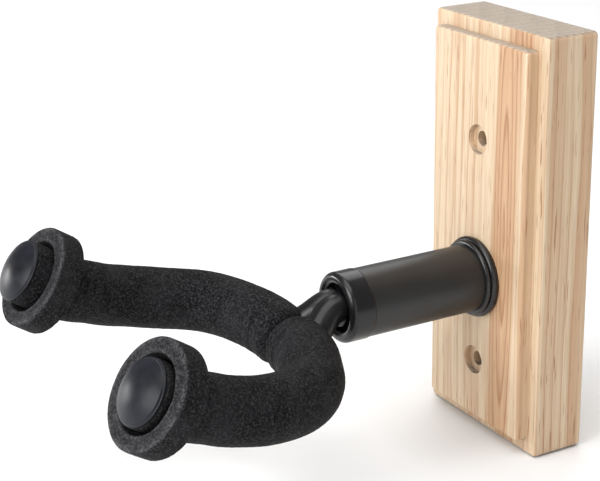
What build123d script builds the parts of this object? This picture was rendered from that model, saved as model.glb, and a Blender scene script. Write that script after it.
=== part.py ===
from build123d import *
import os
import math

# Wall hanger for a guitar.  Units mm, +Z up.
# Origin: centre of the flat back face of the wooden block, which lies on the wall.
# The wall is on the +Y side, the hanger reaches out along -Y.

# ---------------------------------------------------------------- wooden block
BLOCK_W = 59.4          # across the wall, X
BLOCK_H = 140.0         # up the wall, Z
BLOCK_T = 19.0          # 3/4 in board
PANEL_MARGIN = 4.7      # rebate routed round the front
PANEL_T = 4.0           # how far the middle field stands proud of the rebate
FRONT_Y = -(BLOCK_T + PANEL_T)
SCREW_Z = (32.3, -44.7)
SCREW_HOLE_D = 5.0
SCREW_SEAT_D = 9.8
SCREW_SEAT_DEPTH = 2.0

# ---------------------------------------------------------------- barrel
AXIS_Z = -14.5          # height of the swivel axis
TUBE_OD = 22.4
TUBE_ID = 18.4
TUBE_END_Y = -68.6      # joint line between tube and front cap
CAP_D = 23.0
CAP_FACE_Y = -76.9
DISH_DEPTH = 4.1        # the neck comes out of a deep dish in the cap's face
CAP_SPIGOT_END_Y = -62.0
COLLAR_D = 27.2
COLLAR_T = 3.9
BOLT_D = 8.0
BOLT_CLEAR_D = 8.4
REAR_POCKET_D = 19.0
REAR_POCKET_DEPTH = 9.0
PLUG_END_Y = -41.0
PAD_T = 2.5

# ---------------------------------------------------------------- swivel parts
SPINDLE_D = 12.0
BUSH_ID = 12.1
BUSH_OD = 15.0
BUSH_FLANGE_D = 17.4
BUSH_FLANGE_T = 1.2
SHOULDER_Y = -60.4
THREAD_D = 8.0
SPINDLE_END_Y = PLUG_END_Y - PAD_T - 0.4
HUB_Y = -75.9           # spindle meets the fork hub here, just inside the dish
ROD_LEAD = 2.6          # straight start of each rod, inside the hub

# ---------------------------------------------------------------- fork and foam
ROD_D = 9.5             # 3/8 in rod
FOAM_OD = 20.1
RING_OD = 32.9
RING_T = 8.5
RING_BORE = FOAM_OD
RING_MOUTH_D = 22.6     # the bore opens out towards the front face
RING_MOUTH_DEPTH = 4.2
RING_EDGE = 0.9
DOME_D = 19.8
DOME_H = 2.9
DOME_RIM_T = 0.7
SEAM_HALF_GAP = 0.05

# Centreline of the right hand arm (+X) of the rod, from the hub to the knee where
# the straight tip begins, with the yoke level.
ROD_PTS = [
    (1.9, -78.2, -13.5),
    (3.2, -83.2, -16.6),
    (6.8, -89.4, -20.6),
    (12.7, -94.6, -21.4),
    (20.8, -98.1, -20.4),
    (27.6, -101.3, -20.2),
    (33.4, -105.3, -20.1),
    (37.6, -110.9, -19.7),
    (40.2, -117.5, -18.9),
    (41.7, -124.8, -17.5),
    (42.3, -132.1, -15.7),
    (42.2, -139.2, -13.5),
    (41.8, -146.6, -10.8),
    (42.1, -153.75, -7.57),
]
ROD_START_DIR = Vector(0.10, -1, -0.22).normalized()
# Centreline of the foam on the same arm: it runs straight across behind the
# neck, and follows the rod from there on.
FOAM_PTS = [
    (6.5, -93.8, -21.7),
    (10.4, -94.3, -21.45),
    (14.1, -95.3, -21.05),
] + ROD_PTS[4:]
FOAM_START_DIR = Vector(1, 0, 0)
TIP_DIR = Vector(0.03, -0.83, 0.555).normalized()
YOKE_ROLL = 4.2         # the yoke swings freely; it rests this far from level
FOAM_END_ROUND = 5.2    # rounded ends of the two sleeves where they meet
ROD_SPANS = 10          # spans of paired arcs used to follow each centreline
FOAM_SPANS = 9
RING_MID = 4.7          # ring centre, from the start of the straight tip
SLEEVE_TAIL = {1: 10.0, -1: 13.2}   # foam runs this far along the straight tip
TIP_STRAIGHT = {1: 11.8, -1: 15.0}  # straight run of rod at the tip


def y_cyl(d, y0, y1, x=0.0, z=AXIS_Z):
    """Solid cylinder along Y between y0 and y1."""
    lo, hi = min(y0, y1), max(y0, y1)
    pl = Plane(origin=(x, hi, z), x_dir=(1, 0, 0), z_dir=(0, -1, 0))
    return extrude(pl * Circle(d / 2), amount=hi - lo)


def revolve_about_axis(pts):
    """Turn an (radius, y) outline about the swivel axis."""
    w = [Vector(r, y, AXIS_Z) for r, y in pts]
    face = make_face(Polyline(*w, close=True))
    return revolve(face, axis=Axis((0, 0, AXIS_Z), (0, 1, 0)), revolution_arc=360)


def clean(s):
    """Return one plain solid."""
    ss = s.solids()
    assert len(ss) == 1, len(ss)
    return ss[0]


# ================================================================= wooden block
block = Pos(0, -BLOCK_T / 2, 0) * Box(BLOCK_W, BLOCK_T, BLOCK_H)
block = fillet(block.edges().filter_by(Axis.Y), 1.6)
block = fillet(block.faces().sort_by(Axis.Y)[0].edges(), 0.9)
block = fillet(block.faces().sort_by(Axis.Y)[-1].edges(), 1.0)
panel = Pos(0, FRONT_Y + (PANEL_T + 2) / 2, 0) * Box(
    BLOCK_W - 2 * PANEL_MARGIN, PANEL_T + 2, BLOCK_H - 2 * PANEL_MARGIN)
panel = fillet(panel.edges().filter_by(Axis.Y), 1.4)
panel = fillet(panel.faces().sort_by(Axis.Y)[0].edges(), 1.1)
wood = block + panel
for z in SCREW_Z:
    wood -= y_cyl(SCREW_HOLE_D, 1, FRONT_Y - 1, z=z)
    wood -= y_cyl(SCREW_SEAT_D, FRONT_Y + SCREW_SEAT_DEPTH, FRONT_Y - 1, z=z)
wood -= y_cyl(BOLT_CLEAR_D, 1, FRONT_Y - 1)
wood -= y_cyl(REAR_POCKET_D, 1, -REAR_POCKET_DEPTH)
wood_base = clean(wood)

# ================================================================= rear fixing
WASHER_T = 1.6
base_washer = clean(y_cyl(17.6, -REAR_POCKET_DEPTH, -REAR_POCKET_DEPTH + WASHER_T)
                    - y_cyl(BOLT_CLEAR_D, 0, -REAR_POCKET_DEPTH - 1))
HEAD_Y = -REAR_POCKET_DEPTH + WASHER_T
HEAD_H = 5.2
head_pl = Plane(origin=(0, HEAD_Y, AXIS_Z), x_dir=(1, 0, 0), z_dir=(0, 1, 0))
head = extrude(head_pl * RegularPolygon(radius=6.5, side_count=6, major_radius=False), amount=HEAD_H)
BOLT_END_Y = FRONT_Y - 13.0
bolt = head + y_cyl(BOLT_D, HEAD_Y, BOLT_END_Y)
bolt = chamfer(bolt.faces().sort_by(Axis.Y)[0].edges(), 0.8)
base_bolt = clean(bolt)

# ================================================================= barrel
plug = y_cyl(TUBE_ID, FRONT_Y, PLUG_END_Y) - y_cyl(BOLT_D, FRONT_Y + 1, BOLT_END_Y - 2.0)
rear_plug = clean(plug)

thrust_pad = clean(y_cyl(TUBE_ID, PLUG_END_Y, PLUG_END_Y - PAD_T))

tube = y_cyl(TUBE_OD, FRONT_Y, TUBE_END_Y) - y_cyl(TUBE_ID, FRONT_Y + 1, TUBE_END_Y - 1)
tube = chamfer(tube.faces().sort_by(Axis.Y)[0].edges().sort_by(SortBy.LENGTH)[-1], 0.25)
barrel_tube = clean(tube)

# Collar: two round beads with a groove between them, slipped over the tube foot.
ro, ri = COLLAR_D / 2, TUBE_OD / 2
y0 = FRONT_Y


def arc_pts(cr, cy, rad, a0, a1, n):
    """Points on an arc in (radius, y); angle 0 is outwards, 90 is towards -Y."""
    out = []
    for i in range(n + 1):
        a = math.radians(a0 + (a1 - a0) * i / n)
        out.append((cr + rad * math.cos(a), cy - rad * math.sin(a)))
    return out


collar_outline = [(ri, y0), (ro - 0.3, y0)]
collar_outline += arc_pts(ro - 1.15, y0 - 1.15, 1.15, -35, 100, 10)
collar_outline += arc_pts(ro - 1.75, y0 - 2.25, 0.3, 180, 180, 1)[:1]
collar_outline += arc_pts(ri + 0.65, y0 - 3.05, 0.85, -30, 95, 9)
collar_outline += [(ri, y0 - COLLAR_T)]
flange_collar = clean(revolve_about_axis(collar_outline))

# Front cap: a plug with a rounded nose, a dished face and a bore for the bush.
rc = CAP_D / 2
cap_outline = [(BUSH_OD / 2, CAP_SPIGOT_END_Y), (TUBE_ID / 2, CAP_SPIGOT_END_Y), (TUBE_ID / 2, TUBE_END_Y),
               (rc - 0.15, TUBE_END_Y), (rc, TUBE_END_Y - 0.3)]
cap_outline += arc_pts(rc - 1.9, CAP_FACE_Y + 1.9, 1.9, 0, 90, 10)
cap_outline += arc_pts(rc - 2.1, CAP_FACE_Y + 1.7, 1.7, 90, 165, 10)
cap_outline += [(7.7, CAP_FACE_Y + DISH_DEPTH - 0.1), (BUSH_OD / 2, CAP_FACE_Y + DISH_DEPTH)]
front_cap = clean(revolve_about_axis(cap_outline))

bush_outline = [(BUSH_ID / 2, CAP_SPIGOT_END_Y + BUSH_FLANGE_T), (BUSH_FLANGE_D / 2, CAP_SPIGOT_END_Y + BUSH_FLANGE_T),
                (BUSH_FLANGE_D / 2, CAP_SPIGOT_END_Y), (BUSH_OD / 2, CAP_SPIGOT_END_Y),
                (BUSH_OD / 2, CAP_FACE_Y + DISH_DEPTH + 0.2), (BUSH_ID / 2 + 0.6, CAP_FACE_Y + DISH_DEPTH),
                (BUSH_ID / 2, CAP_FACE_Y + DISH_DEPTH + 0.5)]
cap_bush = clean(revolve_about_axis(bush_outline))

# ================================================================= spindle and its stack
sp_outline = [(0, SPINDLE_END_Y), (THREAD_D / 2 - 0.8, SPINDLE_END_Y), (THREAD_D / 2, SPINDLE_END_Y - 0.8),
              (THREAD_D / 2, SHOULDER_Y), (SPINDLE_D / 2, SHOULDER_Y), (SPINDLE_D / 2, HUB_Y), (0, HUB_Y)]
spindle = clean(revolve_about_axis(sp_outline))

TW_T = 1.6
thrust_washer = clean(y_cyl(16.8, SHOULDER_Y, SHOULDER_Y + TW_T) - y_cyl(THREAD_D, 0, -70))
SW_T = 1.8
SW_Y = SHOULDER_Y + TW_T
sw = y_cyl(14.2, SW_Y, SW_Y + SW_T) - y_cyl(THREAD_D, 0, -70)
sw -= Pos(0, SW_Y + SW_T / 2, AXIS_Z + 5.6) * Rot(0, 0, 12) * Box(0.9, 5, 4.4)
spring_washer = clean(sw)
NUT_Y = SW_Y + SW_T
NUT_T = 6.2
nut_pl = Plane(origin=(0, NUT_Y, AXIS_Z), x_dir=(1, 0, 0), z_dir=(0, 1, 0))
nut = extrude(nut_pl * RegularPolygon(radius=6.5, side_count=6, major_radius=False), amount=NUT_T)
nut = nut & revolve_about_axis([(0, NUT_Y), (6.7, NUT_Y), (7.6, NUT_Y + 0.6), (7.6, NUT_Y + NUT_T - 0.6), (6.7, NUT_Y + NUT_T), (0, NUT_Y + NUT_T)])
nut += y_cyl(12.0, NUT_Y + NUT_T, NUT_Y + NUT_T + 2.2)
nut -= y_cyl(THREAD_D, 0, -70)
nut -= y_cyl(10.4, NUT_Y + NUT_T + 2.2 + 0.01, NUT_Y + NUT_T + 0.3)
lock_nut = clean(nut)
nut_insert = clean(y_cyl(10.4, NUT_Y + NUT_T + 2.0, NUT_Y + NUT_T + 0.3) - y_cyl(THREAD_D, 0, -70))

# ================================================================= fork
def flip(v, side):
    return Vector(side * v.X, v.Y, v.Z)


def stations(pts, start_dir, spans, lead=()):
    guide = Spline(*[Vector(*p) for p in pts], tangents=(start_dir, TIP_DIR)).edge()
    us = sorted(set(list(lead) + [i / spans for i in range(spans + 1)]))
    return [(guide.position_at(u), guide.tangent_at(u)) for u in us]


ROD_NODES = stations(ROD_PTS, ROD_START_DIR, ROD_SPANS, (0.045, 0.15))
FOAM_NODES = stations(FOAM_PTS, FOAM_START_DIR, FOAM_SPANS)
KNEE = Vector(*ROD_PTS[-1])


def arm_wire(nodes, side, tail, lead=0.0):
    """Tangent chain of arcs along an arm, with a straight lead and a straight tip."""
    edges = []
    if lead > 0:
        p, t = nodes[0]
        edges.append(Line(flip(p - t * lead, side), flip(p, side)).edge())
    for (p, t), (q, w) in zip(nodes, nodes[1:]):
        v, s = q - p, t + w
        k = 2 * (1 - t.dot(w))
        if k < 1e-9:
            d = v.dot(v) / (2 * v.dot(s))
        else:
            d = (-2 * v.dot(s) + math.sqrt(4 * v.dot(s) ** 2 + 4 * k * v.dot(v))) / (2 * k)
        m = (p + q + (t - w) * d) * 0.5
        tm = (m - (p + t * d)).normalized()
        edges.append(TangentArc(flip(p, side), flip(m, side), tangent=flip(t, side)).edge())
        edges.append(TangentArc(flip(m, side), flip(q, side), tangent=flip(tm, side)).edge())
    edges.append(Line(flip(nodes[-1][0], side), flip(nodes[-1][0] + TIP_DIR * tail, side)).edge())
    return Wire(edges)


def along(nodes, side, profile, tail, lead=0.0):
    w = arm_wire(nodes, side, tail, lead)
    p, t = nodes[0]
    pl = Plane(origin=flip(p - t * lead, side), z_dir=flip(t, side))
    return sweep(pl * profile, path=w)


def tip_cyl(side, d, a, b):
    """Cylinder on the straight tip from a to b mm past its start."""
    n = flip(TIP_DIR, side)
    return extrude(Plane(origin=flip(KNEE, side) + n * a, z_dir=n) * Circle(d / 2), amount=b - a)


hub_pl = Plane(origin=(0, HUB_Y, AXIS_Z), x_dir=(0.8, 0, 0.6), z_dir=(0, -1, 0))
hub = extrude(hub_pl * Circle(SPINDLE_D / 2), amount=0.5)
fork = hub + along(ROD_NODES, 1, Circle(ROD_D / 2), TIP_STRAIGHT[1], ROD_LEAD)
fork = fork + along(ROD_NODES, -1, Circle(ROD_D / 2), TIP_STRAIGHT[-1], ROD_LEAD)
fork = fork & (Pos(0, HUB_Y - 100, 0) * Box(200, 200, 200))
yoke_level = clean(fork)

# ================================================================= foam and caps
def foam_sleeve(tail):
    """Foam tube on the -X arm, with a rounded end where it meets its twin."""
    lead = FOAM_NODES[0][0].X - SEAM_HALF_GAP
    s = along(FOAM_NODES, -1, Circle(FOAM_OD / 2), tail, lead)
    end = s.faces().filter_by(GeomType.PLANE).sort_by(Axis.Y)[-1]
    s = fillet(end.edges(), FOAM_END_ROUND)
    return clean(s - yoke_level)


left_foam_sleeve = foam_sleeve(SLEEVE_TAIL[-1])
right_foam_sleeve = clean(mirror(foam_sleeve(SLEEVE_TAIL[1]), about=Plane.YZ))


def foam_ring(side):
    face = RING_MID + RING_T / 2
    r = tip_cyl(side, RING_OD, RING_MID - RING_T / 2, face)
    r = fillet(r.edges().filter_by(GeomType.CIRCLE), RING_EDGE)
    r = r - tip_cyl(side, RING_BORE, -5, 30)
    n = flip(TIP_DIR, side)
    mouth = Plane(origin=flip(KNEE, side) + n * (face - RING_MOUTH_DEPTH / 2), z_dir=n) * Cone(
        RING_BORE / 2, RING_MOUTH_D / 2, RING_MOUTH_DEPTH)
    return clean(r - mouth)


left_foam_ring = foam_ring(-1)
right_foam_ring = foam_ring(1)


def end_cap(side):
    n = flip(TIP_DIR, side)
    tail = SLEEVE_TAIL[side]
    base = flip(KNEE, side) + n * tail
    h, r = DOME_H, DOME_D / 2
    rs = (r * r + h * h) / (2 * h)
    tilted = Plane(origin=base + n * (DOME_RIM_T + h - rs), z_dir=n)
    cap = tip_cyl(side, DOME_D, tail, tail + DOME_RIM_T + h + 1) & (tilted * Sphere(rs))
    cap = cap - tip_cyl(side, ROD_D, tail - 5, TIP_STRAIGHT[side])
    return clean(cap)


left_end_cap = end_cap(-1)
right_end_cap = end_cap(1)

# ================================================================= rest position of the yoke
SWIVEL_AXIS = Axis((0, 0, AXIS_Z), (0, 1, 0))


def rolled(s):
    return s.rotate(SWIVEL_AXIS, YOKE_ROLL)


os.makedirs("parts", exist_ok=True)
PARTS = {
    "wood_base": wood_base,
    "base_washer": base_washer,
    "base_bolt": base_bolt,
    "rear_plug": rear_plug,
    "thrust_pad": thrust_pad,
    "barrel_tube": barrel_tube,
    "flange_collar": flange_collar,
    "front_cap": front_cap,
    "cap_bush": cap_bush,
    "spindle": rolled(spindle),
    "thrust_washer": rolled(thrust_washer),
    "spring_washer": rolled(spring_washer),
    "lock_nut": rolled(lock_nut),
    "nut_insert": rolled(nut_insert),
    "yoke_fork": rolled(yoke_level),
    "left_foam_sleeve": rolled(left_foam_sleeve),
    "right_foam_sleeve": rolled(right_foam_sleeve),
    "left_foam_ring": rolled(left_foam_ring),
    "right_foam_ring": rolled(right_foam_ring),
    "left_end_cap": rolled(left_end_cap),
    "right_end_cap": rolled(right_end_cap),
}
for name, solid in PARTS.items():
    export_step(solid, f"parts/{name}.step")
    bb = solid.bounding_box()
    print(f"{name:20s} vol {solid.volume:10.1f}  x {bb.min.X:7.2f} {bb.max.X:7.2f}  y {bb.min.Y:8.2f} {bb.max.Y:7.2f}  z {bb.min.Z:7.2f} {bb.max.Z:7.2f}")
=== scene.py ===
import math

import bpy
from mathutils import Matrix, Vector, noise


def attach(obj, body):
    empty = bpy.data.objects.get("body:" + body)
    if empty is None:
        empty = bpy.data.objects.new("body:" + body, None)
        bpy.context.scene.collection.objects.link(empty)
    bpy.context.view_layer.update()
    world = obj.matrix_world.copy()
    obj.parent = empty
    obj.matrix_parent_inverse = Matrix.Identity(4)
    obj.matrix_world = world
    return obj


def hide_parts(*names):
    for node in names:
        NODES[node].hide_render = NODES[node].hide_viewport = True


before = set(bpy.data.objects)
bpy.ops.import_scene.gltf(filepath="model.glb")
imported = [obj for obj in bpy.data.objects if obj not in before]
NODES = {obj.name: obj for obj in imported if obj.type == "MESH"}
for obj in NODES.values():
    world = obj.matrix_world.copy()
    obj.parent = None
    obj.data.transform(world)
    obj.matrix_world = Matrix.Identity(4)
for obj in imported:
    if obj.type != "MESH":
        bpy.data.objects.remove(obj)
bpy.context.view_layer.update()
MM = 0.001
scene = bpy.context.scene

# ------------------------------------------------------------------ sizes, mm
AXIS_Z = -14.5
ROLL = math.radians(4.2)
FOAM_R = 10.05
ROD_R = 4.75
END_ROUND = 5.2
KNEE = Vector((42.1, -153.75, -7.57))
TIP = Vector((0.03, -0.83, 0.555)).normalized()
TAIL = {1: 10.0, -1: 13.2}
RING_MID, RING_T, RING_R = 4.7, 8.5, 16.45
MOUTH_R, MOUTH_DEPTH = 11.3, 4.2
DOME_R, DOME_H, DOME_RIM = 9.9, 2.9, 0.7
# centreline of the foam on the +X arm, yoke level
FOAM_LINE = [
    (0.050, -93.800, -21.700), (1.340, -93.800, -21.700), (2.630, -93.800, -21.700), (3.920, -93.800, -21.700),
    (5.210, -93.800, -21.700), (6.500, -93.800, -21.700), (8.021, -93.864, -21.669), (9.530, -94.055, -21.577),
    (11.012, -94.371, -21.423), (12.478, -94.777, -21.243), (13.929, -95.236, -21.072), (15.365, -95.747, -20.910),
    (16.779, -96.299, -20.760), (18.180, -96.886, -20.623), (19.568, -97.508, -20.501), (20.950, -98.146, -20.398),
    (22.335, -98.782, -20.320), (23.723, -99.415, -20.266), (25.107, -100.060, -20.231), (26.479, -100.730, -20.208),
    (27.840, -101.425, -20.197), (29.171, -102.167, -20.189), (30.459, -102.982, -20.174), (31.699, -103.867, -20.152),
    (32.878, -104.832, -20.118), (33.978, -105.885, -20.069), (34.993, -107.020, -20.004), (35.926, -108.225, -19.923),
    (36.778, -109.487, -19.825), (37.546, -110.800, -19.709), (38.234, -112.154, -19.576), (38.849, -113.541, -19.425),
    (39.389, -114.957, -19.255), (39.866, -116.395, -19.063), (40.295, -117.844, -18.846), (40.675, -119.302, -18.604),
    (41.008, -120.767, -18.338), (41.297, -122.237, -18.050), (41.543, -123.710, -17.740), (41.751, -125.185, -17.411),
    (41.926, -126.662, -17.069), (42.069, -128.139, -16.712), (42.180, -129.616, -16.345), (42.260, -131.093, -15.971),
    (42.308, -132.570, -15.589), (42.328, -134.042, -15.189), (42.322, -135.505, -14.757), (42.290, -136.958, -14.295),
    (42.238, -138.399, -13.794), (42.173, -139.823, -13.249), (42.095, -141.229, -12.659), (42.011, -142.635, -12.074),
    (41.930, -144.063, -11.541), (41.851, -145.509, -11.061), (41.804, -146.937, -10.602), (41.815, -148.357, -10.117),
    (41.885, -149.768, -9.607), (41.974, -151.146, -9.032), (42.046, -152.476, -8.352), (42.100, -153.750, -7.570),
    (42.140, -154.863, -6.825), (42.180, -155.977, -6.081), (42.221, -157.090, -5.336), (42.261, -158.204, -4.592),
    (42.301, -159.317, -3.847), (42.341, -160.430, -3.103), (42.382, -161.544, -2.358), (42.422, -162.657, -1.614),
    (42.462, -163.771, -0.869), (42.502, -164.884, -0.125),
]


def rest_point(v, side):
    """A point of the level +X arm, put on either arm and swung to where the yoke rests, in metres."""
    x, y, z = side * v.x, v.y, v.z - AXIS_Z
    c, s = math.cos(ROLL), math.sin(ROLL)
    return Vector((c * x + s * z, y, -s * x + c * z + AXIS_Z)) * MM


def rest_dir(v, side):
    x, y, z = side * v.x, v.y, v.z
    c, s = math.cos(ROLL), math.sin(ROLL)
    return Vector((c * x + s * z, y, -s * x + c * z))


# ------------------------------------------------------------------ node helpers
class Mat:
    def __init__(self, name):
        self.m = bpy.data.materials.new(name)
        self.m.use_nodes = True
        self.t = self.m.node_tree
        self.bsdf = next(n for n in self.t.nodes if n.type == "BSDF_PRINCIPLED")
        self.coord = self.t.nodes.new("ShaderNodeTexCoord")

    def node(self, kind, **props):
        n = self.t.nodes.new(kind)
        for k, v in props.items():
            setattr(n, k, v)
        return n

    def link(self, a, b):
        self.t.links.new(a, b)

    def scaled(self, sx, sy, sz, rot=(0, 0, 0), loc=(0, 0, 0)):
        n = self.node("ShaderNodeMapping")
        n.inputs["Location"].default_value = loc
        n.inputs["Rotation"].default_value = rot
        n.inputs["Scale"].default_value = (sx, sy, sz)
        self.link(self.coord.outputs["Object"], n.inputs["Vector"])
        return n.outputs["Vector"]

    def noise(self, vec, scale=1.0, detail=4.0, rough=0.55, dist=0.0):
        n = self.node("ShaderNodeTexNoise")
        n.inputs["Scale"].default_value = scale
        n.inputs["Detail"].default_value = detail
        n.inputs["Roughness"].default_value = rough
        n.inputs["Distortion"].default_value = dist
        self.link(vec, n.inputs["Vector"])
        return n.outputs["Fac"]

    def ramp(self, fac, stops, mode="LINEAR"):
        n = self.node("ShaderNodeValToRGB")
        n.color_ramp.interpolation = mode
        e = n.color_ramp.elements
        while len(e) < len(stops):
            e.new(0.5)
        for el, (p, c) in zip(e, stops):
            el.position = p
            el.color = (c, c, c, 1) if isinstance(c, (int, float)) else (*c, 1)
        self.link(fac, n.inputs["Fac"])
        return n.outputs["Color"]

    def math(self, op, a, b=None, c=None, clamp=False):
        n = self.node("ShaderNodeMath", operation=op, use_clamp=clamp)
        for i, v in enumerate((a, b, c)):
            if v is None:
                continue
            if isinstance(v, (int, float)):
                n.inputs[i].default_value = v
            else:
                self.link(v, n.inputs[i])
        return n.outputs[0]

    def mix(self, fac, a, b, mode="MIX"):
        n = self.node("ShaderNodeMix", data_type="RGBA", blend_type=mode)
        for key, v in ((0, fac), (6, a), (7, b)):
            s = n.inputs[key]
            if isinstance(v, (int, float)):
                s.default_value = v
            elif isinstance(v, tuple):
                s.default_value = (*v, 1)
            else:
                self.link(v, s)
        return n.outputs[2]

    def bump(self, height, strength, distance):
        n = self.node("ShaderNodeBump")
        n.inputs["Strength"].default_value = strength
        n.inputs["Distance"].default_value = distance
        self.link(height, n.inputs["Height"])
        self.link(n.outputs["Normal"], self.bsdf.inputs["Normal"])

    def put(self, socket, value):
        s = self.bsdf.inputs[socket]
        if isinstance(value, (int, float)):
            s.default_value = value
        elif isinstance(value, tuple):
            s.default_value = (*value, 1)
        else:
            self.link(value, s)


def wood_material():
    """Pale blond board, solid through: plain sawn bands and growth lines along Z, one darker strip with pointed arches, greyer end grain."""
    w = Mat("wood_blond")
    sep = w.node("ShaderNodeSeparateXYZ")
    w.link(w.coord.outputs["Object"], sep.inputs[0])
    X, Y, Z = sep.outputs
    bend = w.noise(w.scaled(9, 9, 5), 1.0, 2.0, 0.4)
    wob = w.noise(w.scaled(90, 90, 11, loc=(3.1, 0, 1.7)), 1.0, 3.0, 0.5)
    wave = w.math("MULTIPLY", w.math("SUBTRACT", bend, 0.5), 0.016)
    shake = w.math("MULTIPLY", w.math("SUBTRACT", wob, 0.5), 0.0026)
    # growth layers lie slanted across the board: u counts them
    u = w.math("ADD", w.math("MULTIPLY", X, 0.86), w.math("MULTIPLY", Y, 1.05))
    u = w.math("ADD", w.math("ADD", u, wave), w.math("ADD", shake, w.math("MULTIPLY", Z, 0.012)))
    ring = w.math("FRACT", w.math("MULTIPLY", u, 300.0))
    late = w.ramp(ring, [(0.0, 0.0), (0.50, 0.06), (0.78, 0.34), (0.92, 1.0), (0.96, 0.5), (1.0, 0.0)])
    vary = w.noise(w.scaled(110, 110, 7, loc=(5.0, 1.0, 2.0)), 1.0, 2.0, 0.5)
    # bands of cream and pinkish tan: soft on one side, cut sharp on the other
    bu = w.math("ADD", u, w.math("MULTIPLY", w.math("SUBTRACT", vary, 0.5), 0.004))
    saw = w.math("FRACT", w.math("MULTIPLY_ADD", bu, 88.0, 0.30))
    band = w.ramp(saw, [(0.0, 0.0), (0.04, 1.0), (0.30, 0.72), (0.62, 0.18), (1.0, 0.0)])
    amount = w.ramp(w.noise(w.scaled(70, 70, 3.0, loc=(7.3, 2.0, 0.4)), 1.0, 2.0, 0.35), [(0.38, 0.25), (0.60, 1.0)])
    # the strip with arches, on the +X half of the board
    strip_w = w.math("ADD", w.math("MULTIPLY", w.math("SUBTRACT", wob, 0.5), 0.006), w.math("MULTIPLY", Z, -0.018))
    sx = w.math("ABSOLUTE", w.math("SUBTRACT", w.math("ADD", X, strip_w), 0.0148))
    strip = w.ramp(w.math("MULTIPLY", sx, 100.0), [(0.50, 1.0), (0.66, 0.0)])
    arch = w.math("SQRT", w.math("ADD", w.math("POWER", w.math("MULTIPLY", w.math("SUBTRACT", w.math("ADD", X, shake), 0.0150), 1.0), 2.0),
                                 w.math("POWER", w.math("MULTIPLY", w.math("SUBTRACT", Z, 0.006), 0.062), 2.0)))
    arch = w.math("FRACT", w.math("MULTIPLY_ADD", w.math("ADD", arch, w.math("ADD", w.math("MULTIPLY", wave, 0.30), w.math("MULTIPLY", shake, 0.45))), 640.0, 0.2))
    flame = w.ramp(arch, [(0.0, 0.1), (0.55, 0.25), (0.84, 1.0), (0.95, 0.3), (1.0, 0.1)])
    fibre = w.noise(w.scaled(1500, 1500, 40), 1.0, 3.0, 0.65)
    streak = w.noise(w.scaled(620, 620, 10), 1.0, 3.0, 0.55)
    pore = w.noise(w.scaled(1700, 1700, 75, loc=(4, 4, 4)), 1.0, 1.0, 0.5)
    c = w.mix(w.math("MULTIPLY", band, amount), (0.710, 0.570, 0.400), (0.560, 0.355, 0.215))
    c = w.mix(w.math("MULTIPLY", strip, 0.70), c, (0.590, 0.365, 0.200))
    c = w.mix(w.math("MULTIPLY", w.math("MULTIPLY", strip, flame), 0.90), c, (0.330, 0.135, 0.055))
    c = w.mix(w.math("MULTIPLY", late, w.ramp(vary, [(0.36, 0.20), (0.62, 0.75)])), c, (0.430, 0.225, 0.115))
    c = w.mix(w.math("MULTIPLY", w.ramp(streak, [(0.50, 0.0), (0.68, 1.0)]), 0.52), c, (0.470, 0.275, 0.150))
    c = w.mix(w.math("MULTIPLY", w.ramp(fibre, [(0.35, 1.0), (0.58, 0.0)]), 0.38), c, (0.480, 0.310, 0.185))
    c = w.mix(w.math("MULTIPLY", w.ramp(pore, [(0.655, 0.0), (0.715, 1.0)]), 0.72), c, (0.300, 0.120, 0.055))
    # end grain, up and down
    nsep = w.node("ShaderNodeSeparateXYZ")
    w.link(w.coord.outputs["Normal"], nsep.inputs[0])
    end = w.ramp(w.math("ABSOLUTE", nsep.outputs[2]), [(0.55, 0.0), (0.92, 1.0)])
    speck = w.noise(w.scaled(900, 900, 900), 1.0, 2.0, 0.6)
    e2 = w.math("FRACT", w.math("MULTIPLY", w.math("MULTIPLY_ADD", w.math("SUBTRACT", X, w.math("MULTIPLY", Y, 1.1)), 1.0, w.math("ADD", wave, shake)), 330.0))
    elate = w.ramp(e2, [(0.0, 0.0), (0.45, 0.1), (0.80, 0.9), (1.0, 0.0)])
    eg = w.mix(w.math("MULTIPLY", elate, 0.85), (0.500, 0.420, 0.335), (0.130, 0.090, 0.062))
    eg = w.mix(w.math("MULTIPLY", w.math("MULTIPLY", band, amount), 0.5), eg, (0.330, 0.270, 0.210))
    eg = w.mix(w.math("MULTIPLY", w.ramp(speck, [(0.40, 0.0), (0.66, 1.0)]), 0.42), eg, (0.290, 0.235, 0.185))
    c = w.mix(end, c, eg)
    w.put("Base Color", c)
    w.put("Roughness", w.ramp(fibre, [(0.3, 0.60), (0.7, 0.50)]))
    w.put("Specular IOR Level", 0.35)
    h = w.math("ADD", w.math("MULTIPLY", fibre, 0.7), w.math("MULTIPLY", late, 0.3))
    w.bump(w.math("SUBTRACT", h, w.math("MULTIPLY", w.ramp(pore, [(0.67, 0.0), (0.74, 1.0)]), 0.8)), 0.35, 0.00018)
    return w.m


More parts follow.
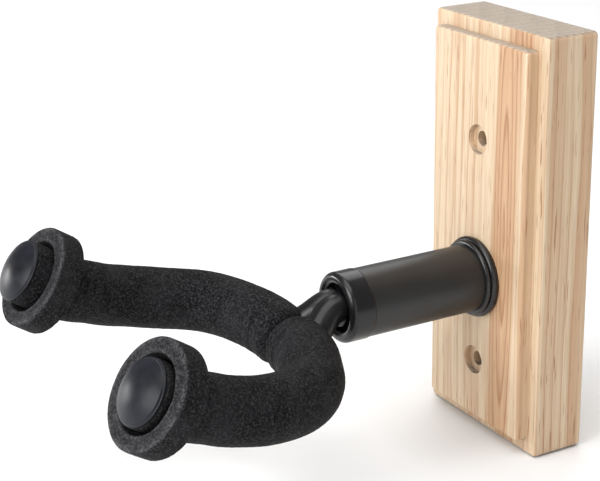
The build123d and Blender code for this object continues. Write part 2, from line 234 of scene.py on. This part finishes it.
def foam_material(name, dark, light, seed):
    """Charcoal closed-cell foam: fine speckle of lighter skin, with a painted highlight that makes it paler where the
    per-vertex highlight value is high.
    """
    f = Mat(name)
    grain = f.noise(f.scaled(1, 1, 1, loc=(seed, 0, 0)), 1500.0, 2.0, 0.7)
    grain2 = f.noise(f.scaled(1, 1, 1, loc=(0, seed, 0)), 620.0, 3.0, 0.7)
    blotch = f.noise(f.scaled(1, 1, 1, loc=(0, 0, seed)), 95.0, 3.0, 0.55)
    painted_highlight = f.node("ShaderNodeAttribute", attribute_name="painted_highlight", attribute_type="GEOMETRY")
    c = f.mix(f.ramp(grain, [(0.46, 0.0), (0.62, 1.0)]), dark, light)
    c = f.mix(f.math("MULTIPLY", f.ramp(grain2, [(0.35, 1.0), (0.58, 0.0)]), 0.45), c, tuple(v * 0.55 for v in dark))
    c = f.mix(f.math("MULTIPLY", f.ramp(blotch, [(0.42, 0.0), (0.66, 1.0)]), 0.28), c, light)
    # painted highlight: paler grey where the per-vertex value is high, speckled by the grain
    highlight_amount = f.math("MULTIPLY", painted_highlight.outputs["Fac"], f.ramp(grain, [(0.34, 0.15), (0.60, 1.0)]))
    c = f.mix(f.math("MULTIPLY", highlight_amount, 0.85, clamp=True), c, (0.105, 0.105, 0.112))
    f.put("Base Color", c)
    f.put("Roughness", f.ramp(grain2, [(0.3, 0.88), (0.7, 0.72)]))
    f.put("Specular IOR Level", 0.12)
    f.bump(f.math("ADD", f.math("MULTIPLY", grain, 0.6), f.math("MULTIPLY", grain2, 0.7)), 0.75, 0.00035)
    return f.m


def coat_material(name, col, rough, spread, spec, grain_scale, grain_bump, coat=0.0):
    """Painted, powder coated or moulded surface with a faint tooth."""
    p = Mat(name)
    g = p.noise(p.scaled(1, 1, 1), grain_scale, 3.0, 0.6)
    b = p.noise(p.scaled(1, 1, 1, loc=(2, 5, 1)), 60.0, 3.0, 0.55)
    p.put("Base Color", p.mix(p.ramp(b, [(0.35, 0.0), (0.7, 1.0)]), col, tuple(v * 1.25 + 0.001 for v in col)))
    p.put("Roughness", p.ramp(b, [(0.3, rough - spread), (0.7, rough + spread)]))
    p.put("Specular IOR Level", spec)
    if coat:
        p.put("Coat Weight", coat)
        p.put("Coat Roughness", 0.12)
    p.bump(g, grain_bump, 0.00008)
    return p.m


def steel_material():
    s = Mat("zinc_steel")
    g = s.noise(s.scaled(60, 900, 60), 8.0, 3.0, 0.6)
    s.put("Base Color", s.ramp(g, [(0.3, (0.50, 0.50, 0.49)), (0.7, (0.64, 0.64, 0.62))]))
    s.put("Metallic", 1.0)
    s.put("Roughness", s.ramp(g, [(0.3, 0.30), (0.7, 0.42)]))
    s.bump(g, 0.15, 0.00005)
    return s.m


def nylon_material():
    s = Mat("nylon_natural")
    g = s.noise(s.scaled(1, 1, 1), 500.0, 3.0, 0.6)
    s.put("Base Color", s.ramp(g, [(0.3, (0.60, 0.58, 0.50)), (0.7, (0.68, 0.66, 0.58))]))
    s.put("Roughness", s.ramp(g, [(0.3, 0.45), (0.7, 0.55)]))
    s.bump(g, 0.15, 0.00005)
    return s.m


def rubber_material():
    """Moulded rubber end cap: blue-black, soft sheen, faint handling marks."""
    r = Mat("cap_rubber_moulded")
    b = r.noise(r.scaled(1, 1, 1), 130.0, 3.0, 0.55)
    g = r.noise(r.scaled(1, 1, 1), 900.0, 2.0, 0.6)
    r.put("Base Color", r.ramp(b, [(0.34, (0.0060, 0.0064, 0.0092)), (0.68, (0.0150, 0.0162, 0.0225))]))
    r.put("Roughness", r.ramp(b, [(0.3, 0.30), (0.7, 0.42)]))
    r.put("Specular IOR Level", 0.21)
    r.bump(r.math("ADD", r.math("MULTIPLY", b, 0.8), r.math("MULTIPLY", g, 0.2)), 0.35, 0.0002)
    return r.m


WOOD = wood_material()
FOAM = foam_material("foam_sleeve_charcoal", (0.0038, 0.0038, 0.0043), (0.037, 0.037, 0.040), 0.3)
FOAM_RING = foam_material("foam_ring_charcoal", (0.0038, 0.0038, 0.0043), (0.037, 0.037, 0.040), 0.8)
TUBE = coat_material("satin_black_tube", (0.0120, 0.0118, 0.0115), 0.40, 0.03, 0.5, 1500.0, 0.10)
CAP = coat_material("moulded_black_cap", (0.0075, 0.0075, 0.0085), 0.25, 0.05, 0.42, 1200.0, 0.05)
COLLAR = coat_material("moulded_black_collar", (0.0085, 0.0085, 0.0092), 0.27, 0.04, 0.5, 1200.0, 0.05)
ROD = coat_material("semi_gloss_black_rod", (0.0080, 0.0080, 0.0090), 0.30, 0.05, 0.36, 700.0, 0.12)
STEEL = steel_material()
NYLON = nylon_material()
RUBBER = rubber_material()

for name, mat, slot in (
    ("wood_base", WOOD, "wood"), ("base_washer", STEEL, "steel"), ("base_bolt", STEEL, "steel"), ("rear_plug", STEEL, "steel"),
    ("thrust_pad", NYLON, "nylon"), ("barrel_tube", TUBE, "tube_black"), ("flange_collar", COLLAR, "cap_black"),
    ("front_cap", CAP, "cap_black"), ("cap_bush", CAP, "cap_black"), ("spindle", ROD, "rod_black"), ("thrust_washer", STEEL, "steel"),
    ("spring_washer", STEEL, "steel"), ("lock_nut", STEEL, "steel"), ("nut_insert", NYLON, "nylon"), ("yoke_fork", ROD, "rod_black"),
):
    o = NODES[name]
    o.data.materials.clear()
    o.data.materials.append(mat)


# ------------------------------------------------------------------ meshes
def make_object(name, verts, faces, mat, painted_highlight=None):
    me = bpy.data.meshes.new(name)
    me.from_pydata([tuple(v) for v in verts], [], faces)
    me.polygons.foreach_set("use_smooth", [True] * len(me.polygons))
    # per-vertex painted highlight value for the foam material, zero unless given
    a = me.attributes.new("painted_highlight", "FLOAT", "POINT")
    a.data.foreach_set("value", painted_highlight if painted_highlight else [0.0] * len(verts))
    me.update()
    me.validate()
    o = bpy.data.objects.new(name, me)
    scene.collection.objects.link(o)
    me.materials.append(mat)
    return o


def smoothstep(a, b, x):
    t = min(1.0, max(0.0, (x - a) / (b - a)))
    return t * t * (3 - 2 * t)


def resample(line, step):
    """Even points along a polyline through a smooth curve, with their arc length."""
    pts = [Vector(p) for p in line]
    fine, n = [], 8
    for i in range(len(pts) - 1):
        p0, p1, p2, p3 = pts[max(i - 1, 0)], pts[i], pts[i + 1], pts[min(i + 2, len(pts) - 1)]
        for k in range(n):
            t = k / n
            fine.append(0.5 * ((2 * p1) + (p2 - p0) * t + (2 * p0 - 5 * p1 + 4 * p2 - p3) * t * t + (3 * p1 - p0 - 3 * p2 + p3) * t ** 3))
    fine.append(pts[-1])
    acc = [0.0]
    for a, b in zip(fine, fine[1:]):
        acc.append(acc[-1] + (b - a).length)
    m = max(2, round(acc[-1] / step))
    out, j = [], 0
    for i in range(m + 1):
        s = acc[-1] * i / m
        while j < len(acc) - 2 and acc[j + 1] < s:
            j += 1
        t = (s - acc[j]) / max(1e-9, acc[j + 1] - acc[j])
        out.append((fine[j].lerp(fine[j + 1], min(1, t)), s))
    return out


def sleeve(name, side, node):
    """Foam tube along one arm: rounded end at the middle, cell texture in the surface, creases inside the elbow, a flat cut end with its bore."""
    cut = (KNEE + TIP * TAIL[side] - Vector(FOAM_LINE[-1])).dot(TIP)
    stations = resample(FOAM_LINE, 0.5)
    total = stations[-1][1] + cut
    stations = [(p, s) for p, s in stations if s <= total - 0.3]
    segs = 150
    tangents = []
    for i in range(len(stations)):
        a, b = stations[max(i - 1, 0)][0], stations[min(i + 1, len(stations) - 1)][0]
        tangents.append((b - a).normalized())
    up = Vector((0, 0, 1))
    normal = (up - tangents[0] * up.dot(tangents[0])).normalized()
    verts, faces, painted_highlight, rows = [], [], [], []

    def add_row(p, t, nrm, r, s, rough=True):
        bi = t.cross(nrm)
        row = []
        for k in range(segs):
            ang = 2 * math.pi * k / segs
            d = nrm * math.cos(ang) + bi * math.sin(ang)
            q = p + d * r
            off = -0.10
            if rough:
                off += 0.055 * noise.noise(q * 1.9 + Vector((side * 7, 0, 0))) + 0.05 * noise.noise(q * 0.85) + 0.16 * noise.noise(q * 0.13 + Vector((0, side * 3, 9)))
                inner = max(0.0, -d.y)
                # creases where the foam is pressed together inside the bend
                for s0, dep, wid, lean in ((9.6, 0.75, 0.9, 1.5), (14.2, 0.30, 1.1, -1.2), (19.0, 0.20, 1.5, 0.8), (5.4, 0.22, 1.0, -0.6)):
                    x = (s - s0 - lean * d.z) / wid
                    off -= dep * math.exp(-x * x) * smoothstep(0.35, 0.95, inner)
            row.append(len(verts))
            verts.append(rest_point(q + d * off, side))
            painted_highlight.append(0.0)
        rows.append(row)

    first = stations[0][0]
    for r in (ROD_R + 0.05, 4.83):
        add_row(first, tangents[0], normal, r, 0.0, False)
    prev = tangents[0]
    for (p, s), t in zip(stations, tangents):
        axis = prev.cross(t)
        if axis.length > 1e-9:
            normal = Matrix.Rotation(prev.angle(t), 3, axis.normalized()) @ normal
        normal = (normal - t * normal.dot(t)).normalized()
        prev = t
        r = FOAM_R
        if s < END_ROUND:
            r = FOAM_R - END_ROUND + math.sqrt(max(0.0, END_ROUND ** 2 - (END_ROUND - s) ** 2))
        if total - s < 0.7:
            r = FOAM_R - 0.7 + math.sqrt(max(0.0, 0.49 - (0.7 - (total - s)) ** 2))
        add_row(p, t, normal, r, s)
    endp = KNEE + TIP * TAIL[side]
    for r in (FOAM_R - 0.75, 8.0, 6.3, ROD_R + 0.05):
        add_row(endp - TIP * 0.02, TIP, normal, r, total, False)
    add_row(endp - TIP * 6, TIP, normal, ROD_R + 0.05, total - 6, False)
    for a, b in zip(rows, rows[1:]):
        for k in range(segs):
            k2 = (k + 1) % segs
            f = (a[k], a[k2], b[k2], b[k])
            faces.append(f if side > 0 else f[::-1])
    o = make_object(name, verts, faces, FOAM, painted_highlight)
    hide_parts(node)
    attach(o, "yoke")
    return o


def lathe(name, side, profile, mat, segs, bumpy=0.0, painted_highlights=None, centre=KNEE):
    """Turns (along, radius) about the straight tip of one arm. bumpy is the depth of cell texture, mm, always inwards."""
    x = TIP.cross(Vector((0, 0, 1))).normalized()
    y = TIP.cross(x)
    verts, faces, painted_highlight = [], [], []
    rows = []
    for i, (a, r) in enumerate(profile):
        pa, pb = profile[max(i - 1, 0)], profile[min(i + 1, len(profile) - 1)]
        da, dr = pb[0] - pa[0], pb[1] - pa[1]
        ln = math.hypot(da, dr) or 1.0
        na, nr = -dr / ln, da / ln
        row = []
        if r < 1e-6:
            row = [len(verts)]
            verts.append(rest_point(centre + TIP * a, side))
            painted_highlight.append(painted_highlights[i] if painted_highlights else 0.0)
        else:
            for k in range(segs):
                ang = 2 * math.pi * k / segs
                d = x * math.cos(ang) + y * math.sin(ang)
                q = centre + TIP * a + d * r
                off = 0.0
                if bumpy:
                    off = bumpy * (-1.0 + 0.35 * noise.noise(q * 2.1 + Vector((side * 5, 0, 0))) + 0.35 * noise.noise(q * 0.9) + 0.5 * noise.noise(q * 0.22 + Vector((side * 2, 4, 0))))
                row.append(len(verts))
                verts.append(rest_point(q + (TIP * na + d * nr) * off, side))
                # painted highlight value, broken up by noise around the ring
                painted_highlight.append((painted_highlights[i] if painted_highlights else 0.0) * (1.0 if not painted_highlights else 0.6 + 0.55 * noise.noise(q * 0.35 + Vector((side, 1, 2))) ))
        rows.append(row)
    for a, b in zip(rows, rows[1:]):
        for k in range(segs):
            k2 = (k + 1) % segs
            if len(a) == 1 and len(b) == 1:
                continue
            if len(a) == 1:
                f = (a[0], b[k2], b[k])
            elif len(b) == 1:
                f = (a[k], a[k2], b[0])
            else:
                f = (a[k], a[k2], b[k2], b[k])
            faces.append(f if side > 0 else f[::-1])
    return make_object(name, verts, faces, mat, painted_highlight)


def dense(points, step):
    out = []
    for (a0, r0), (a1, r1) in zip(points, points[1:]):
        n = max(1, round(math.hypot(a1 - a0, r1 - r0) / step))
        out += [(a0 + (a1 - a0) * i / n, r0 + (r1 - r0) * i / n) for i in range(n)]
    return out + [points[-1]]


def arc(ca, cr, rad, a0, a1, n):
    """Arc in (along, radius); 0 points to the tip, 90 outwards."""
    return [(ca + rad * math.cos(math.radians(a0 + (a1 - a0) * i / n)), cr + rad * math.sin(math.radians(a0 + (a1 - a0) * i / n))) for i in range(n + 1)]


def ring(name, side, node):
    face, back = RING_MID + RING_T / 2, RING_MID - RING_T / 2
    e = 0.9
    bore = FOAM_R - 0.02
    outline = [(back + 0.5, bore), (back, bore + 0.6)] + arc(back + e, RING_R - e, e, 180, 90, 6) + arc(face - e, RING_R - e, e, 90, 0, 7) \
        + arc(face - 0.7, MOUTH_R + 0.8, 0.7, 0, -75, 5) + [(face - MOUTH_DEPTH, bore + 0.1), (back + 2.0, bore - 0.1)]
    prof = dense(outline, 0.42)
    # painted highlight: paler colour on the ring's front face, strongest along its rounded outer rim and the edge of
    # the mouth
    painted_highlights = []
    for a, r in prof:
        rim_f = math.exp(-(((a - face) / 0.9) ** 2 + ((r - RING_R + 0.4) / 1.0) ** 2))
        mouth = 0.55 * math.exp(-(((a - face) / 0.9) ** 2 + ((r - MOUTH_R - 0.3) / 0.9) ** 2))
        front = 0.30 * smoothstep(face - 0.6, face - 0.1, a)
        painted_highlights.append(min(1.0, rim_f + mouth + front))
    o = lathe(name, side, prof, FOAM_RING, 210, 0.14, painted_highlights)
    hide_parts(node)
    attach(o, "yoke")
    return o


def dome(name, side, node):
    t = TAIL[side]
    rs = (DOME_R ** 2 + DOME_H ** 2) / (2 * DOME_H)
    c = t + DOME_RIM + DOME_H - rs
    prof = [(t - 0.6, 5.0), (t - 0.02, 5.0), (t + 0.02, 9.3)] + arc(t + 0.32, DOME_R - 0.30, 0.30, 180, 20, 7)
    prof += [(t + 0.62, DOME_R - 0.26), (t + 0.70, DOME_R - 0.42)]
    a_edge = math.degrees(math.asin((DOME_R - 0.55) / rs))
    n = 34
    for i in range(n + 1):
        a = math.radians(a_edge * (1 - i / n))
        prof.append((c + rs * math.cos(a), rs * math.sin(a) if i < n else 0.0))
    o = lathe(name, side, prof, RUBBER, 128, 0.0)
    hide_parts(node)
    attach(o, "yoke")
    return o


for label, side in (("right", 1), ("left", -1)):
    sleeve(f"{label}_sleeve_foam", side, f"{label}_foam_sleeve")
    ring(f"{label}_ring_foam", side, f"{label}_foam_ring")
    dome(f"{label}_cap_dome", side, f"{label}_end_cap")

# ------------------------------------------------------------------ floor, light, camera
fm = Mat("studio_floor")
fn = fm.noise(fm.scaled(1, 1, 1), 3.0, 2.0, 0.5)
fm.put("Base Color", fm.ramp(fn, [(0.3, 0.93), (0.7, 0.95)]))
fm.put("Roughness", 0.9)
fm.put("Specular IOR Level", 0.1)
me = bpy.data.meshes.new("floor")
S = 6.0
fz = -0.0704
me.from_pydata([(-S, -S, fz), (S, -S, fz), (S, S, fz), (-S, S, fz)], [], [(0, 1, 2, 3)])
floor = bpy.data.objects.new("floor", me)
scene.collection.objects.link(floor)
me.materials.append(fm.m)

world = bpy.data.worlds.new("studio")
world.use_nodes = True
bg = next(n for n in world.node_tree.nodes if n.type == "BACKGROUND")
bg.inputs["Color"].default_value = (1.0, 1.0, 1.0, 1)
bg.inputs["Strength"].default_value = 0.26
scene.world = world


def area(name, loc, target, size, size_y, energy, col=(1, 1, 1)):
    l = bpy.data.lights.new(name, "AREA")
    l.shape = "RECTANGLE"
    l.size, l.size_y, l.energy, l.color = size, size_y, energy, col
    o = bpy.data.objects.new(name, l)
    o.location = loc
    o.rotation_euler = (Vector(target) - Vector(loc)).to_track_quat("-Z", "Y").to_euler()
    scene.collection.objects.link(o)
    return o


area("key_soft", (0.12, -1.35, 0.62), (0, -0.05, 0), 0.9, 0.8, 15.5)
area("top_soft", (0.10, -0.35, 1.30), (0, -0.08, 0), 1.2, 1.2, 13.0)
area("back_soft", (-0.9, 0.55, 0.95), (-0.15, 0.0, 0), 0.9, 0.9, 6.0)
area("side_strip", (1.05, -0.25, 0.40), (0, -0.08, 0), 0.22, 0.9, 1.9)
area("low_front", (-0.85, -0.70, 0.02), (0, -0.12, 0), 0.30, 0.14, 2.2)

cam_data = bpy.data.cameras.new("camera")
cam = bpy.data.objects.new("camera", cam_data)
scene.collection.objects.link(cam)
az, el, rl = math.radians(60.72), math.radians(19.65), math.radians(-1.10)
back = Vector((math.sin(az) * math.cos(el), -math.cos(az) * math.cos(el), math.sin(el)))
right = Vector((math.cos(az), math.sin(az), 0))
upv = back.cross(right)
cx = right * math.cos(rl) + upv * math.sin(rl)
cy = -right * math.sin(rl) + upv * math.cos(rl)
cam.matrix_world = Matrix(((cx.x, cy.x, back.x, 0.39256), (cx.y, cy.y, back.y, -0.30915), (cx.z, cy.z, back.z, 0.17128), (0, 0, 0, 1)))
cam_data.sensor_width = 36.0
cam_data.lens = 93.70
cam_data.clip_start, cam_data.clip_end = 0.01, 50
scene.camera = cam
scene.view_settings.view_transform = "Standard"
scene.view_settings.look = "None"
